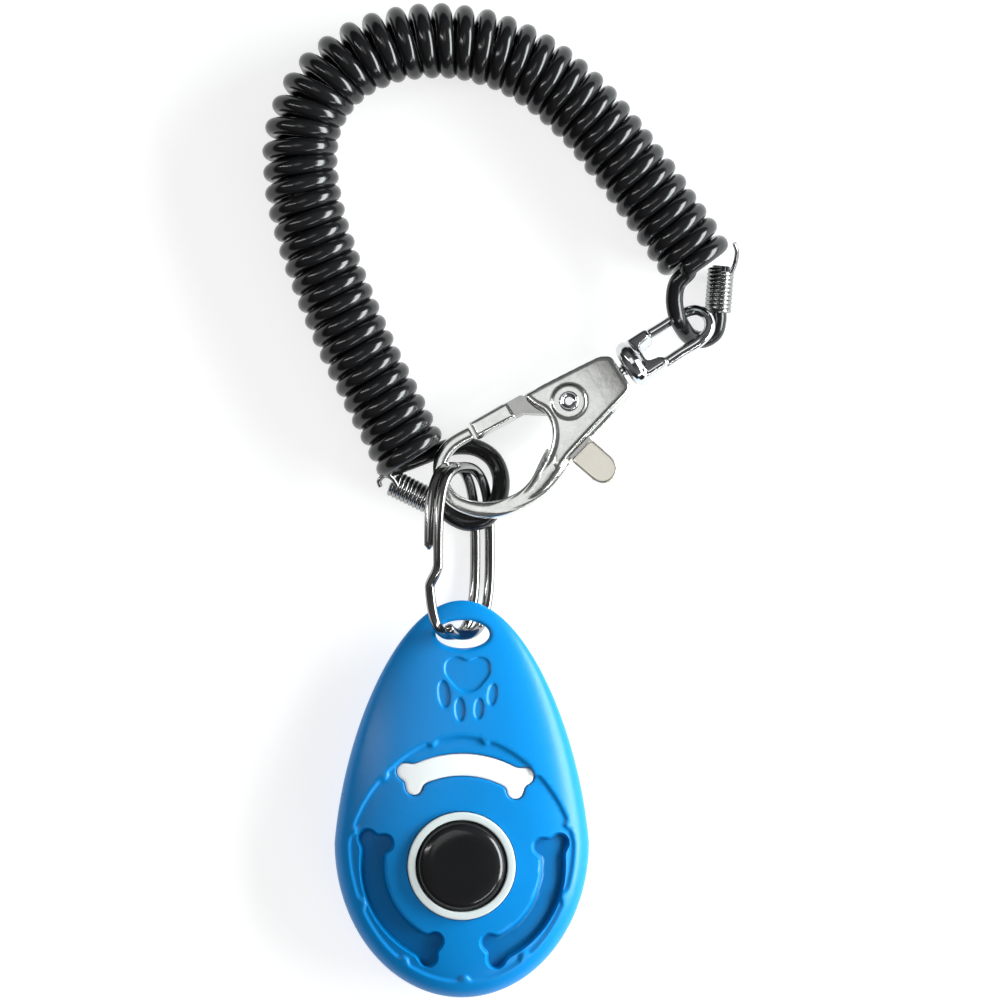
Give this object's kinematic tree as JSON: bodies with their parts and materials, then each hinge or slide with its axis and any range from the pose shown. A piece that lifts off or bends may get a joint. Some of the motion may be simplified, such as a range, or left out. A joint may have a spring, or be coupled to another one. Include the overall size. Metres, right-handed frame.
{
  "type": "clicker trainer",
  "caption": "Egg-shaped dog-training clicker with a press button, on a split ring and a swivel clasp with a coiled wrist strap.",
  "frame": {"origin": "on the clicker's flat back, straight under the button's centre", "axes": "+Z out of the button's face; +Y from the button to the tip and the strap; +X to the right with the tip up"},
  "size_m": [0.0781, 0.163, 0.0137],
  "materials": {
    "blue_shell": "satin moulded plastic",
    "white_frame": "semi-gloss moulded plastic",
    "black_button": "polished",
    "chrome": "bright nickel plate",
    "spring_steel": "drawn wire",
    "black_cord": "glossy extruded plastic"
  },
  "bodies": {
    "clicker": {"front_shell": "blue_shell", "back_shell": "blue_shell", "inner_frame": "white_frame"},
    "button": {"button_cap": "black_button"},
    "plate": {"click_plate": "spring_steel"},
    "ring": {"split_ring": "chrome"},
    "clasp": {"clasp_body": "chrome", "clasp_rivet": "chrome", "clasp_spring": "spring_steel", "strap_coil": "black_cord", "loop_left": "black_cord", "loop_right": "black_cord", "end_spring_left": "spring_steel", "end_spring_right": "spring_steel"},
    "gate": {"clasp_gate": "chrome"},
    "eye": {"swivel_eye": "chrome"}
  },
  "joints": [
    {"name": "button_press", "type": "slide", "parent": "clicker", "child": "button", "axis": [0, 0, -1], "range_m": [0, 0.0008], "stiffness_N_per_m": 2500},
    {"name": "plate_flex", "type": "hinge", "parent": "clicker", "child": "plate", "pos_m": [0, -0.0125, 0.00515], "axis": [-1, 0, 0], "range_deg": [0, 4]},
    {"name": "ring_swing", "type": "hinge", "parent": "clicker", "child": "ring", "pos_m": [0.00015, 0.0378, 0.0062], "axis": [0, 0, 1], "range_deg": [-8, 8]},
    {"name": "clasp_swing", "type": "hinge", "parent": "ring", "child": "clasp", "pos_m": [-0.0005, 0.0625, 0.0056], "axis": [0, 0, 1], "range_deg": [-3, 6]},
    {"name": "gate_open", "type": "hinge", "parent": "clasp", "child": "gate", "pos_m": [0.01784, 0.0754, 0.0056], "axis": [-0.0935, 0.1463, 0.9848], "range_deg": [0, 20], "stiffness_Nm_per_rad": 0.02},
    {"name": "eye_swivel", "type": "hinge", "parent": "clasp", "child": "eye", "pos_m": [0.01784, 0.0754, 0.0056], "axis": [0.8425, 0.5388, 0], "range_deg": [-12, 12]}
  ],
  "couplings": [
    {"joint": "plate_flex", "follows": "button_press", "rad_per_m": 80}
  ]
}
